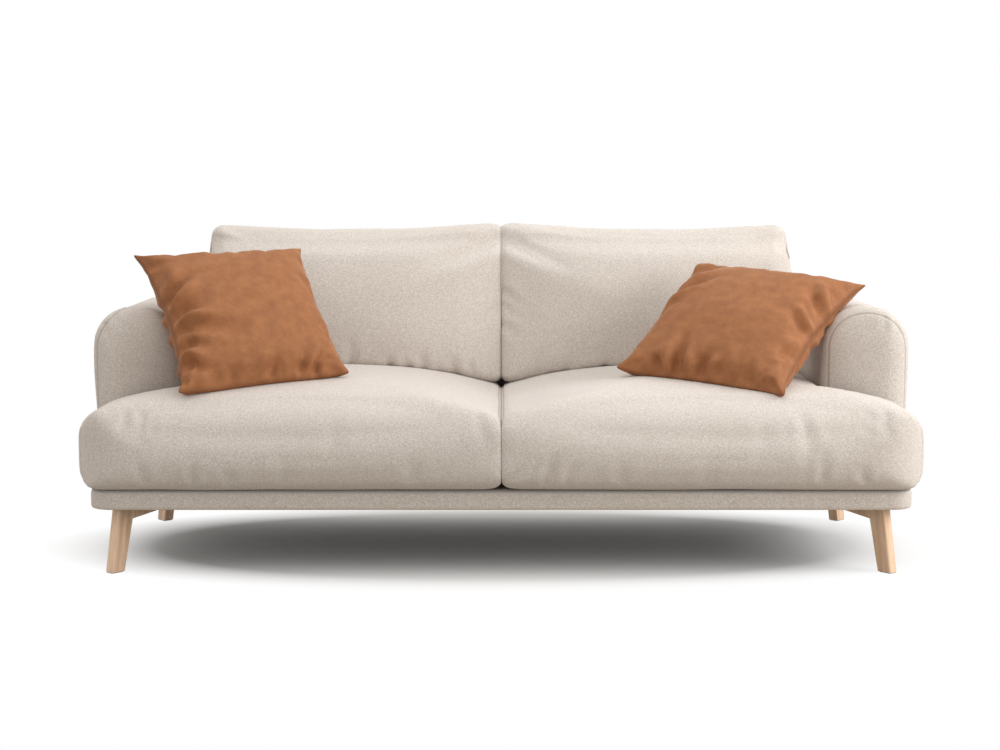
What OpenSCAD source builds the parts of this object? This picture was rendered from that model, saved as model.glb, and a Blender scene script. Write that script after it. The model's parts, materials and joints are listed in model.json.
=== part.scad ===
// Two-seat sofa with loose T-shaped seat cushions, loose back cushions,
// two scatter cushions and four splayed wooden legs.
// +X is the sitter's view to the right of the front, +Y runs to the back, +Z is up.
// The origin is on the floor, under the middle of the whole sofa.
// "left" and "right" are as seen from the front.

/* [Overall] */
// Width across the ends of the seat cushions
overall_w = 2200; // [1830:10:2640]
// Depth from the front of the seat cushions to the top of the back
overall_d = 980; // [810:10:1180]
// Height of the back cushions' tops
overall_h = 888; // [800:4:1066]
// Thickness of the upholstery fabric
fabric_t = 2; // [1:0.5:3]
// Slack between a cover and what it holds
slack = 0.5; // [0.3:0.1:1]
// Gap between loose cushions and what stands beside them
cushion_gap = 4; // [2:1:8]

/* [Base] */
// Height of the base's underside above the floor
leg_h = 172; // [140:2:210]
// Height of the upholstered base
base_h = 52; // [44:1:70]
// How far the base stands in from the ends of the seat cushions
base_end_inset = 34; // [30:1:80]
// How far the base stands in at the front
base_front_inset = 50; // [30:1:80]
// How far the base stands in behind, from the top of the back
base_rear_inset = 50; // [40:1:60]
// Plan radius of the base's corners
base_corner_r = 60; // [45:1:75]
// Width of the fabric turned in under the base
base_lip = 35; // [25:1:38]
// Thickness of a base rail
rail_t = 30; // [22:1:36]
// Side of a corner block that carries a leg
block_w = 230; // [225:1:260]
// Thickness of the felt on the deck
deck_pad_t = 3.5; // [2:0.5:5]
// Width of the cloth border round the deck
deck_border = 120; // [80:5:160]
// Thickness of the dust cover
dust_t = 1.2; // [0.8:0.1:1.6]
// Width of a webbing strap
strap_w = 50; // [40:1:60]
// Thickness of a webbing strap
strap_t = 1.5; // [1:0.1:2]
// Straps from front to rear in each half of the deck
straps_per_half = 6; // [4:1:7]
// Straps from side to side
cross_straps = 5; // [3:1:6]

/* [Legs] */
// Width of a leg at its foot
leg_w = 40; // [34:1:46]
// Thickness of a leg
leg_t = 30; // [25:1:34]
// Angle between a leg's plane and the sofa's front
leg_angle = 48; // [44:1:52]
// Run of the outer edge for each millimetre of height
leg_outer_splay = 0.155; // [0.10:0.005:0.19]
// Run of the inner edge for each millimetre of height
leg_inner_splay = 0.218; // [0.2:0.002:0.24]
// Length of a leg's arm along the underside of the base
leg_arm_l = 262; // [250:1:275]
// Depth of the arm where it meets the leg
leg_arm_h = 36; // [30:1:42]
// Depth of the arm at its tip
leg_arm_tip = 8; // [5:1:10]
// Distance from the base's end to the foot's front corner
leg_end_inset = 56; // [42:1:60]
// Distance from the base's front to a front foot's corner
leg_front_inset = 28; // [26:1:40]
// Distance from the base's rear to a rear foot's corner
leg_rear_inset = 44; // [26:1:50]
// Thickness of the glide under a foot
glide_t = 2; // [1:0.5:4]

/* [Arms] */
// Height of the arms and of the back
arm_h = 680; // [620:2:720]
// Thickness of an arm
arm_t = 226; // [180:2:250]
// How far an arm stands in from the end of the seat cushion
arm_end_inset = 14; // [8:1:40]
// How far the arms stand back from the front of the seat cushions
arm_setback = 250; // [210:2:280]
// Radius of an arm's top corners
arm_top_r = 106; // [80:1:112]
// Thickness of the foam round an arm
arm_foam_t = 25; // [15:1:30]
// Thickness of the foam on the front of an arm
arm_front_foam_t = 52; // [20:1:60]
// Thickness of an arm's bent plywood hood
hood_t = 6; // [4:1:9]
// Thickness of an arm's former boards
former_t = 18; // [15:1:22]

/* [Back] */
// Lean of the back
back_lean = 8; // [4:0.5:9]
// Thickness of the back, front to rear
back_t = 85; // [75:1:100]
// Radius along the back's top edges
back_top_r = 34; // [20:1:36]
// Thickness of the foam round the back frame
back_foam_t = 15; // [10:1:20]
// Height of a back rail
back_rail_h = 60; // [45:1:70]
// Width of a back post
back_post_w = 45; // [35:1:55]
// Straps across the back
back_straps = 4; // [3:1:4]

/* [Seat cushions] */
// Height of the crown above the floor
seat_h = 494; // [460:2:520]
// Fall of the crown to a cushion's sides
seat_side_fall = 74; // [50:2:80]
// Fall of the crown from its middle to the rear
seat_rear_fall = 34; // [20:2:50]
// Where the crown is highest, behind the cushion's front
seat_crown_y = 450; // [400:5:500]
// Fall of the crown from its middle to the front
seat_front_fall = 50; // [30:2:70]
// Radius along the top of the nose and of the outer ends
seat_nose_r = 104; // [80:1:112]
// Radius along the bottom of the nose and of the outer ends
seat_low_r = 58; // [44:1:90]
// Radius of the sides that meet in the middle
seat_mid_r = 42; // [30:1:60]
// Plan radius of the outer front corners
seat_corner_r = 135; // [100:5:150]

/* [Back cushions] */
// Thickness at the fullest place
back_cushion_t = 200; // [170:2:210]
// Thickness at the top edge
back_cushion_top_t = 124; // [100:2:140]
// Radius of the corners, seen from the front
back_cushion_r = 38; // [25:1:60]
// Radius along the top edges
back_cushion_edge_r = 50; // [35:1:56]
// How much thinner the sides are than the middle
back_cushion_side_fall = 34; // [15:1:50]
// How much thinner the bottom is than the fullest place
back_cushion_low_fall = 30; // [15:1:50]
// How deep a back cushion reaches down behind the seat crown
back_cushion_sink = 62; // [40:2:80]

/* [Scatter cushions] */
// Side of a scatter cushion
scatter_w = 475; // [440:5:490]
// Thickness in the middle
scatter_t = 120; // [90:5:130]
// How far the sides pull in between the corners
scatter_waist = 30; // [20:1:40]
// Thickness of the seam at the edge
scatter_edge_t = 8; // [7:1:12]

/* [Fasteners] */
// Diameter of a leg screw
screw_d = 6; // [5:0.5:6]
// Diameter of a leg screw's head
screw_head_d = 12; // [11:0.5:13]
// Wood left above a screw's head in the leg's arm
screw_land = 6; // [5:0.5:7]
// Diameter of the bolts that hold the arms and the back
bolt_d = 8; // [6:0.5:10]
// Diameter of a rail dowel
dowel_d = 8; // [6:1:10]
// Length of a rail dowel
dowel_l = 50; // [40:1:60]
// Radial clearance round a screw, bolt or dowel
hole_clear = 0.1; // [0.05:0.05:0.3]

/* [Hidden] */
$fn = 96;
// How far a cut runs past the face it opens
past = 1;

// Colours
fabric_colour = "#cfc4b8";
wood_colour = "#dcb794";
frame_colour = "#d9c39a";
foam_colour = "#efe7cf";
rust_colour = "#a9643a";
steel_colour = "#9a9da1";
webbing_colour = "#3c3c3c";

// Heights in the base, from the bottom up
frame_z = leg_h + fabric_t;
base_top = leg_h + base_h;
strap_gap = 0.3;
deck_z = base_top - fabric_t;
pad_z = deck_z - slack - deck_pad_t;
strap_long_z = pad_z - strap_gap - strap_t;
strap_cross_z = strap_long_z - strap_gap - strap_t;
rail_top = strap_cross_z - strap_gap;
leg_top = frame_z - dust_t;

// Plan of the base
base_x = overall_w / 2 - base_end_inset;
base_front = -overall_d / 2 + base_front_inset;
base_rear = overall_d / 2 - base_rear_inset;
skin = fabric_t + slack;

// Plan of the arms and the back
arm_out = overall_w / 2 - arm_end_inset;
arm_in = arm_out - arm_t;
arm_front = -overall_d / 2 + arm_setback;
lean = tan(back_lean);
back_foot = overall_d / 2 - (arm_h - base_top) * lean;
back_x = arm_in - 1;
back_core = skin + back_foam_t;

// Seat cushions
seat_z = base_top + slack;
seat_front = -overall_d / 2;
seat_rear = back_foot - back_t - cushion_gap;
seat_out = overall_w / 2;
seat_arm_x = arm_in - cushion_gap;
seat_lobe_rear = arm_front - cushion_gap;
seat_mid_x = cushion_gap / 2;

// Where the rear face of the arms and the back stands at height z
function rear_at(z) = back_foot + (z - base_top) * lean;

// Height of a crown that falls by "fall" from its middle to "half" away
function crown(at, middle, half, top, fall) = top - fall * pow((at - middle) / half, 2);

// Places between the rounded corners where a crown is worked out
crown_steps = 8;
function places(a, b) = [for (i = [0:crown_steps]) a + (b - a) * i / crown_steps];

// Points of a polygon whose corners [x, y, r] are rounded by arcs of radius r
function unit(v) = v / norm(v);
function corner_arc(before, at, after, steps) =
    let (
        p = [at[0], at[1]],
        a = unit([before[0], before[1]] - p),
        b = unit([after[0], after[1]] - p),
        half = acos(max(-1, min(1, a * b))) / 2,
        middle = p + unit(a + b) * at[2] / sin(half),
        start = p + a * at[2] / tan(half) - middle,
        turn = 180 - 2 * half,
        way = (a[0] * b[1] - a[1] * b[0]) > 0 ? -1 : 1
    )
    [for (i = [0:steps])
        let (t = way * turn * i / steps)
        middle + [start[0] * cos(t) - start[1] * sin(t), start[0] * sin(t) + start[1] * cos(t)]];
function rounded(corners, steps = 10) =
    let (n = len(corners))
    [for (i = [0:n - 1])
        let (at = corners[i])
        for (p = at[2] > 0
            ? corner_arc(corners[(i + n - 1) % n], at, corners[(i + 1) % n], steps)
            : [[at[0], at[1]]])
        p];

// Which side or end a copy is for: the pieces are drawn for the right front
module on_side(right) {
    mirror([right ? 0 : 1, 0, 0]) children();
}

// A flat outline stood up across the sofa, from y0 to y1
module across(y0, y1) {
    translate([0, y1, 0]) rotate([90, 0, 0]) linear_extrude(y1 - y0) children();
}

// A side outline, drawn as [y, z], run from x0 to x1
module along(x0, x1) {
    translate([x0, 0, 0]) rotate([90, 0, 90]) linear_extrude(x1 - x0) children();
}

module rod(d, p, l, turn = [0, 0, 0]) {
    translate(p) rotate(turn) cylinder(d = d, h = l);
}

// ---- Legs ----

// Where a leg's plane starts: the foot's front corner, on the left
module at_leg(right, rear) {
    mirror([right ? 1 : 0, 0, 0])
        mirror([0, rear ? 1 : 0, 0])
            translate([-base_x + leg_end_inset,
                rear ? -base_rear + leg_rear_inset : base_front + leg_front_inset, 0])
                rotate([0, 0, leg_angle]) children();
}

crook_z = leg_top - leg_arm_h;
crook_s = leg_w + crook_z * leg_inner_splay;
screw_steps = [110, 165, 220];
screw_seat_z = leg_top - screw_land;
screw_head_h = 5;
screw_head_gap = 0.5;
screw_l = 30;
glide_in = 3;

module leg(right, rear) {
    color(wood_colour)
        at_leg(right, rear)
            difference() {
                translate([0, leg_t, 0]) rotate([90, 0, 0]) linear_extrude(leg_t)
                    polygon([
                        [glide_t * leg_outer_splay, glide_t],
                        [leg_w + glide_t * leg_inner_splay, glide_t],
                        [crook_s, crook_z],
                        [leg_arm_l, leg_top - leg_arm_tip],
                        [leg_arm_l, leg_top],
                        [leg_top * leg_outer_splay, leg_top]
                    ]);
                for (s = screw_steps) {
                    rod(screw_d + 2 * hole_clear, [s, leg_t / 2, crook_z], leg_arm_h + past);
                    rod(screw_head_d + 2 * screw_head_gap, [s, leg_t / 2, crook_z - past],
                        screw_seat_z - crook_z + past);
                }
            }
}

module leg_front_left() leg(false, false);
module leg_front_right() leg(true, false);
module leg_rear_left() leg(false, true);
module leg_rear_right() leg(true, true);

module each_leg() {
    for (right = [false, true])
        for (rear = [false, true])
            at_leg(right, rear) children();
}

module screw_holes() {
    each_leg()
        for (s = screw_steps)
            rod(screw_d + 2 * hole_clear, [s, leg_t / 2, screw_seat_z], screw_l + past);
}

module leg_screws() {
    color(steel_colour)
        each_leg()
            for (s = screw_steps)
                union() {
                    rod(screw_d, [s, leg_t / 2, screw_seat_z - screw_head_h], screw_head_h + screw_l);
                    rod(screw_head_d, [s, leg_t / 2, screw_seat_z - screw_head_h], screw_head_h);
                }
}

module floor_glides() {
    color(webbing_colour)
        each_leg()
            translate([glide_in, glide_in, 0])
                cube([leg_w - 2 * glide_in, leg_t - 2 * glide_in, glide_t]);
}

// ---- Base ----

module base_plan(inset) {
    r = max(base_corner_r - inset, 5);
    x = base_x - inset;
    y0 = base_front + inset;
    y1 = base_rear - inset;
    polygon(rounded([[-x, y0, r], [x, y0, r], [x, y1, r], [-x, y1, r]]));
}

module base_slab(inset, z0, z1) {
    translate([0, 0, z0]) linear_extrude(z1 - z0) base_plan(inset);
}

frame_h = rail_top - frame_z;
rail_end_x = base_x - base_corner_r;
rail_front = base_front + skin;
rail_rear = base_rear - skin;
rail_side = base_x - skin;
dowel_z = frame_z + frame_h / 2;

module dowels(extra) {
    d = dowel_d + 2 * extra;
    l = dowel_l + 2 * extra;
    for (right = [false, true])
        on_side(right) {
            for (y = [rail_front + rail_t / 2, rail_rear - rail_t / 2])
                rod(d, [rail_end_x - l / 2, y, dowel_z], l, [0, 90, 0]);
            for (y = [base_front + base_corner_r, base_rear - base_corner_r])
                rod(d, [rail_side - rail_t / 2, y + l / 2, dowel_z], l, [90, 0, 0]);
        }
}

module cross_rail(y0) {
    color(frame_colour)
        difference() {
            translate([-rail_end_x, y0, frame_z]) cube([2 * rail_end_x, rail_t, frame_h]);
            dowels(hole_clear);
        }
}

module front_rail() cross_rail(rail_front);
module rear_rail() cross_rail(rail_rear - rail_t);

module side_rail(right) {
    y0 = base_front + base_corner_r;
    y1 = base_rear - base_corner_r;
    color(frame_colour)
        difference() {
            on_side(right)
                translate([rail_side - rail_t, y0, frame_z]) cube([rail_t, y1 - y0, frame_h]);
            dowels(hole_clear);
            arm_bolt_holes();
        }
}

module side_rail_left() side_rail(false);
module side_rail_right() side_rail(true);

module centre_rail() {
    y0 = rail_front + rail_t;
    y1 = rail_rear - rail_t;
    color(frame_colour)
        translate([-rail_t / 2, y0, frame_z]) cube([rail_t, y1 - y0, frame_h]);
}

module corner_blocks() {
    color(frame_colour)
        difference() {
            for (right = [false, true])
                on_side(right)
                    for (rear = [false, true])
                        translate([0, 0, frame_z]) linear_extrude(frame_h)
                            intersection() {
                                base_plan(skin);
                                translate([rail_side - block_w,
                                    rear ? rail_rear - block_w : rail_front]) square(block_w);
                            }
            translate([-rail_end_x, rail_front - past, 0])
                cube([2 * rail_end_x, rail_t + past, overall_h]);
            translate([-rail_end_x, rail_rear - rail_t, 0])
                cube([2 * rail_end_x, rail_t + past, overall_h]);
            for (right = [false, true])
                on_side(right)
                    translate([rail_side - rail_t, base_front + base_corner_r, 0])
                        cube([rail_t + past, base_rear - base_front - 2 * base_corner_r, overall_h]);
            dowels(hole_clear);
            screw_holes();
        }
}

module rail_dowels() {
    color(wood_colour) dowels(0);
}

// How far the straps end inside the base's rails
strap_end = 2;

module seat_webbing_lengthways() {
    half = base_x - rail_t - skin;
    pitch = half / straps_per_half;
    color(webbing_colour)
        for (side = [-1, 1])
            for (i = [0:straps_per_half - 1])
                translate([side * pitch * (i + 0.5) - strap_w / 2, rail_front + strap_end, strap_long_z])
                    cube([strap_w, rail_rear - rail_front - 2 * strap_end, strap_t]);
}

cross_margin = 110;
cross_first = base_front + cross_margin;
cross_pitch = (base_rear - base_front - 2 * cross_margin) / (cross_straps - 1);

module seat_webbing_crossways() {
    color(webbing_colour)
        difference() {
            for (i = [0:cross_straps - 1])
                translate([-rail_side + strap_end, cross_first + i * cross_pitch - strap_w / 2,
                    strap_cross_z])
                    cube([2 * (rail_side - strap_end), strap_w, strap_t]);
            arm_bolt_holes();
        }
}

module deck_pad() {
    color(foam_colour)
        difference() {
            base_slab(skin, pad_z, pad_z + deck_pad_t);
            arm_bolt_holes();
        }
}

module deck_cloth() {
    color(webbing_colour) base_slab(deck_border, deck_z, base_top);
}

module base_cover() {
    color(fabric_colour)
        difference() {
            base_slab(0, leg_h, base_top);
            base_slab(fabric_t, frame_z, deck_z);
            base_slab(deck_border, deck_z - past, base_top + past);
            base_slab(base_lip, leg_h - past, frame_z + past);
            arm_bolt_holes();
        }
}

module dust_cover() {
    color(webbing_colour)
        difference() {
            base_slab(base_lip + slack, leg_top, frame_z);
            screw_holes();
        }
}

// ---- Arms ----

arm_bolt_x = rail_side - rail_t / 2;
arm_bolt_margin = 100;
arm_bolt_y = [arm_front + arm_bolt_margin, base_rear - base_corner_r - arm_bolt_margin];
bolt_sink = 10;
arm_bolt_z = frame_z + bolt_sink;
bolt_head_d = bolt_d * 1.75;
bolt_head_h = 6;
bolt_head_gap = 0.5;
arm_bolt_l = base_top + fabric_t + former_t - arm_bolt_z;

module arm_bolt_holes() {
    for (right = [false, true])
        on_side(right)
            for (y = arm_bolt_y) {
                rod(bolt_d + 2 * hole_clear, [arm_bolt_x, y, frame_z - past],
                    arm_bolt_l + bolt_sink + 2 * past);
                rod(bolt_head_d + 2 * bolt_head_gap, [arm_bolt_x, y, frame_z - past], bolt_sink + past);
            }
}

module arm_bolts() {
    color(steel_colour)
        for (right = [false, true])
            on_side(right)
                for (y = arm_bolt_y)
                    union() {
                        rod(bolt_d, [arm_bolt_x, y, arm_bolt_z - bolt_head_h], bolt_head_h + arm_bolt_l);
                        rod(bolt_head_d, [arm_bolt_x, y, arm_bolt_z - bolt_head_h], bolt_head_h);
                    }
}

arm_round_r = min(arm_top_r, arm_t / 2 - 1);

// Section across an arm, drawn "inset" inside its surface and from z0 up
module arm_profile(inset, z0) {
    top = arm_h - inset;
    r = max(arm_round_r - inset, 5);
    polygon(rounded([
        [arm_in + inset, z0, 0],
        [arm_out - inset, z0, 0],
        [arm_out - inset, top, r],
        [arm_in + inset, top, r]
    ]));
}

// Side outline of an arm: upright in front, leaning behind
module arm_side(front_in, rear_in) {
    polygon([
        [arm_front + front_in, 0],
        [rear_at(0) - rear_in, 0],
        [rear_at(arm_h) - rear_in, arm_h],
        [arm_front + front_in, arm_h]
    ]);
}

module arm_form(inset, z0, front_in = 0) {
    intersection() {
        across(arm_front - past, overall_d) arm_profile(inset, z0);
        along(0, overall_w) arm_side(max(inset, front_in), inset / cos(back_lean));
    }
}

arm_z = base_top + fabric_t;
hood_in = skin + arm_foam_t;
board_in = hood_in + former_t;
former_in = skin + arm_front_foam_t;
front_board_in = former_in + former_t;

module arm_hood(right) {
    color(frame_colour)
        on_side(right)
            difference() {
                intersection() {
                    across(arm_front, overall_d) arm_profile(hood_in, arm_z);
                    along(0, overall_w) arm_side(front_board_in, board_in);
                }
                across(arm_front - past, overall_d + past) arm_profile(hood_in + hood_t, arm_z - past);
                back_bolt_holes();
            }
}

module arm_hood_left() arm_hood(false);
module arm_hood_right() arm_hood(true);

module arm_formers(right) {
    color(frame_colour)
        on_side(right)
            difference() {
                arm_form(hood_in, arm_z, former_in);
                along(0, overall_w) arm_side(front_board_in, board_in);
            }
}

module arm_formers_left() arm_formers(false);
module arm_formers_right() arm_formers(true);

module arm_bottom_board(right) {
    x0 = arm_in + hood_in + hood_t;
    x1 = arm_out - hood_in - hood_t;
    color(frame_colour)
        on_side(right)
            difference() {
                intersection() {
                    translate([x0, -overall_d, arm_z]) cube([x1 - x0, 2 * overall_d, former_t]);
                    along(0, overall_w) arm_side(front_board_in, board_in);
                }
                arm_bolt_holes();
            }
}

module arm_bottom_board_left() arm_bottom_board(false);
module arm_bottom_board_right() arm_bottom_board(true);

module arm_padding(right) {
    color(foam_colour)
        on_side(right)
            difference() {
                arm_form(skin, arm_z);
                arm_form(hood_in, arm_z - past, former_in);
                back_bolt_holes();
            }
}

module arm_padding_left() arm_padding(false);
module arm_padding_right() arm_padding(true);

module arm_cover(right) {
    color(fabric_colour)
        on_side(right)
            difference() {
                arm_form(0, base_top);
                arm_form(fabric_t, arm_z);
                arm_bolt_holes();
                back_bolt_holes();
            }
}

module arm_cover_left() arm_cover(false);
module arm_cover_right() arm_cover(true);

// ---- Back ----

// Side outline of the back, as [y, z]
module back_side(inset, z0) {
    top = arm_h - inset;
    in = inset / cos(back_lean);
    r = max(back_top_r - inset, 4);
    polygon(rounded([
        [rear_at(z0) - back_t + in, z0, 0],
        [rear_at(z0) - in, z0, 0],
        [rear_at(top) - in, top, r],
        [rear_at(top) - back_t + in, top, r]
    ]));
}

module back_form(inset, z0) {
    along(-back_x + inset, back_x - inset) back_side(inset, z0);
}

back_z = base_top + fabric_t;
timber_in = back_core + slack;
strap_slot = strap_t + strap_gap;
back_rail_low = back_z + back_rail_h;
back_rail_top = arm_h - timber_in - back_rail_h;

// The timber of the back between two heights and two widths
module back_timber(x0, x1, z0, z1) {
    color(frame_colour)
        difference() {
            intersection() {
                along(x0, x1) back_side(timber_in, back_z);
                translate([-overall_w, -overall_d, z0]) cube([2 * overall_w, 2 * overall_d, z1 - z0]);
            }
            back_strap_slots(0);
            on_side(false) back_bolt_holes();
            back_bolt_holes();
        }
}

post_x = back_x - timber_in - back_post_w;

module back_post_left() back_timber(-post_x - back_post_w, -post_x, back_rail_low, back_rail_top);
module back_post_centre() back_timber(-back_post_w / 2, back_post_w / 2, back_rail_low, back_rail_top);
module back_post_right() back_timber(post_x, post_x + back_post_w, back_rail_low, back_rail_top);
module back_bottom_rail() back_timber(-post_x - back_post_w, post_x + back_post_w, back_z, back_rail_low);
module back_top_rail() back_timber(-post_x - back_post_w, post_x + back_post_w, back_rail_top, arm_h);

strap_margin = 15;
strap_first = back_rail_low + strap_w / 2 + strap_margin;
strap_pitch = (back_rail_top - back_rail_low - strap_w - 2 * strap_margin) / (back_straps - 1);

// Straps let into the front of the posts, or the slots for them
module back_strap_slots(thin) {
    x = post_x + back_post_w - 2 * thin;
    for (i = [0:back_straps - 1])
        let (z = strap_first + i * strap_pitch)
        translate([0, rear_at(z) - back_t + timber_in / cos(back_lean), z])
            rotate([-back_lean, 0, 0])
                translate([-x, thin - past, -strap_w / 2 + thin])
                    cube([2 * x, strap_slot + past - 2 * thin, strap_w - 2 * thin]);
}

module back_webbing() {
    color(webbing_colour)
        intersection() {
            back_strap_slots(strap_gap / 2);
            along(-overall_w, overall_w) back_side(timber_in, back_z);
        }
}

module back_padding() {
    color(foam_colour)
        difference() {
            back_form(skin, back_z);
            back_form(back_core, back_z - past);
            on_side(false) back_bolt_holes();
            back_bolt_holes();
        }
}

module back_cover() {
    color(fabric_colour)
        difference() {
            back_form(0, base_top);
            back_form(fabric_t, back_z);
            on_side(false) back_bolt_holes();
            back_bolt_holes();
        }
}

back_bolt_low = 90;
back_bolt_below = 20;
back_bolt_z = [base_top + back_bolt_low, arm_h - arm_round_r - back_bolt_below];
back_bolt_in = board_in + bolt_head_d;
back_bolt_x0 = arm_in + hood_in + hood_t;
back_bolt_x1 = post_x + 8;

module back_bolt_holes() {
    for (z = back_bolt_z)
        rod(bolt_d + 2 * hole_clear, [back_bolt_x1, rear_at(z) - back_bolt_in, z],
            back_bolt_x0 - back_bolt_x1 + past, [0, 90, 0]);
}

module back_bolts() {
    color(steel_colour)
        for (right = [false, true])
            on_side(right)
                for (z = back_bolt_z)
                    union() {
                        rod(bolt_d, [back_bolt_x1 + past, rear_at(z) - back_bolt_in, z],
                            back_bolt_x0 - back_bolt_x1, [0, 90, 0]);
                        rod(bolt_head_d, [back_bolt_x0, rear_at(z) - back_bolt_in, z],
                            bolt_head_h, [0, 90, 0]);
                    }
}

// ---- Seat cushions ----

seat_end_h = seat_h - seat_side_fall - seat_z;
nose_r = min(seat_nose_r, seat_end_h / 1.75);
nose_low_r = min(seat_low_r, seat_end_h / 2.2);
seat_inner_r = 14;
seat_lobe_r = 40;
seat_rear_r = 20;
seat_rear_edge_r = 30;
// How far the outlines that are cut to one form run past it
spare = 5;

module seat_plan(in) {
    polygon(rounded([
        [seat_mid_x + in, seat_front + in, seat_inner_r - in],
        [seat_out - in, seat_front + in, seat_corner_r - in],
        [seat_out - in, seat_lobe_rear - in, seat_lobe_r - in],
        [seat_arm_x - in, seat_lobe_rear - in, 0],
        [seat_arm_x - in, seat_rear - in, seat_rear_r - in],
        [seat_mid_x + in, seat_rear - in, seat_rear_r - in]
    ]));
}

// Front outline, as [x, z]
module seat_face(in) {
    middle = (seat_mid_x + seat_out) / 2;
    half = seat_out - middle;
    edge_z = seat_h - seat_side_fall;
    polygon(rounded(concat(
        [
            [seat_mid_x + in, seat_z + in, seat_mid_r - in],
            [seat_out - in, seat_z + in, nose_low_r - in],
            [seat_out - in, edge_z - in, nose_r - in]
        ],
        [for (x = places(seat_out - nose_r, seat_mid_x + seat_mid_r))
            [x, crown(x, middle, half, seat_h, seat_side_fall) - in, 0]],
        [[seat_mid_x + in, edge_z - in, seat_mid_r - in]]
    )));
}

// Side outline, as [y, z]
module seat_side(in) {
    middle = seat_front + seat_crown_y;
    polygon(rounded(concat(
        [
            [seat_rear - in, seat_z + in, seat_rear_edge_r - in],
            [seat_front + in, seat_z + in, nose_low_r - in],
            [seat_front + in, seat_h - seat_front_fall - in, nose_r - in]
        ],
        [for (y = places(seat_front + nose_r, seat_rear - seat_rear_edge_r))
            [y, y < middle
                ? crown(y, middle, seat_crown_y, seat_h, seat_front_fall) - in
                : crown(y, middle, seat_rear - middle, seat_h, seat_rear_fall) - in, 0]],
        [[seat_rear - in, seat_h - seat_rear_fall - in, seat_rear_edge_r - in]]
    )));
}

module seat_form(in) {
    intersection() {
        translate([0, 0, seat_z - spare]) linear_extrude(seat_h) seat_plan(in);
        across(seat_front - spare, seat_rear + spare) seat_face(in);
        along(seat_mid_x - spare, seat_out + spare) seat_side(in);
    }
}

module seat_cushion_cover(right) {
    color(fabric_colour)
        on_side(right)
            difference() {
                seat_form(0);
                seat_form(fabric_t);
            }
}

module seat_cushion_core(right) {
    color(foam_colour) on_side(right) seat_form(skin);
}

module seat_cushion_cover_left() seat_cushion_cover(false);
module seat_cushion_cover_right() seat_cushion_cover(true);
module seat_cushion_core_left() seat_cushion_core(false);
module seat_cushion_core_right() seat_cushion_core(true);

// ---- Back cushions ----

// Places on the back's front face: x, forward of the face as -y, and up along it
module on_back_face() {
    translate([0, rear_at(base_top) - back_t, base_top]) rotate([-back_lean, 0, 0]) children();
}

cushion_front = -cushion_gap - back_cushion_t;
cushion_top_front = -cushion_gap - back_cushion_top_t;
cushion_low = (seat_h - back_cushion_sink - base_top) / cos(back_lean);
cushion_high = back_cushion_edge_r + (overall_h - base_top - back_cushion_edge_r
    + (cushion_top_front + back_cushion_edge_r) * sin(back_lean)) / cos(back_lean);
cushion_full = cushion_low + (cushion_high - cushion_low) * 0.38;
cushion_low_r = 30;
cushion_low_front_r = 45;
cushion_plan_rear_r = 15;
cushion_plan_front_r = 45;

module cushion_face(in) {
    r = back_cushion_r - in;
    polygon(rounded([
        [seat_mid_x + in, cushion_low + in, r],
        [seat_arm_x - in, cushion_low + in, r],
        [seat_arm_x - in, cushion_high - in, r],
        [seat_mid_x + in, cushion_high - in, r]
    ]));
}

module cushion_side(in) {
    polygon(rounded(concat(
        [
            [-cushion_gap - in, cushion_low + in, cushion_low_r - in],
            [-cushion_gap - in, cushion_high - in, back_cushion_edge_r - in],
            [cushion_top_front + in, cushion_high - in, back_cushion_edge_r - in],
            [cushion_top_front + in, cushion_high - back_cushion_edge_r - spare, 0]
        ],
        [for (v = places(cushion_high - 2 * back_cushion_edge_r, cushion_low + 2 * cushion_low_front_r))
            [-crown(v, cushion_full,
                v > cushion_full ? cushion_high - cushion_full : cushion_full - cushion_low,
                -cushion_front,
                v > cushion_full ? back_cushion_t - back_cushion_top_t : back_cushion_low_fall)
                + in, v, 0]],
        [[cushion_front + back_cushion_low_fall + in, cushion_low + in, cushion_low_front_r - in]]
    )));
}

module cushion_plan(in) {
    middle = (seat_mid_x + seat_arm_x) / 2;
    half = seat_arm_x - middle;
    edge_y = cushion_front + back_cushion_side_fall;
    polygon(rounded(concat(
        [
            [seat_arm_x - in, -cushion_gap - in, cushion_plan_rear_r - in],
            [seat_mid_x + in, -cushion_gap - in, cushion_plan_rear_r - in],
            [seat_mid_x + in, edge_y + in, cushion_plan_front_r - in]
        ],
        [for (x = places(seat_mid_x + cushion_plan_front_r, seat_arm_x - cushion_plan_front_r))
            [x, -crown(x, middle, half, -cushion_front, back_cushion_side_fall) + in, 0]],
        [[seat_arm_x - in, edge_y + in, cushion_plan_front_r - in]]
    )));
}

// The form takes up the seat cushion's crown where it rests on it
module back_cushion_form(in) {
    difference() {
        on_back_face()
            intersection() {
                across(cushion_front - spare, spare) cushion_face(in);
                along(0, seat_arm_x + spare) cushion_side(in);
                linear_extrude(cushion_high + spare) cushion_plan(in);
            }
        seat_form(-slack - in);
    }
}

module back_cushion_cover(right) {
    color(fabric_colour)
        on_side(right)
            difference() {
                back_cushion_form(0);
                back_cushion_form(fabric_t);
            }
}

module back_cushion_fill(right) {
    color(foam_colour) on_side(right) back_cushion_form(skin);
}

module back_cushion_cover_left() back_cushion_cover(false);
module back_cushion_cover_right() back_cushion_cover(true);
module back_cushion_fill_left() back_cushion_fill(false);
module back_cushion_fill_right() back_cushion_fill(true);

// ---- Scatter cushions ----

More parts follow.
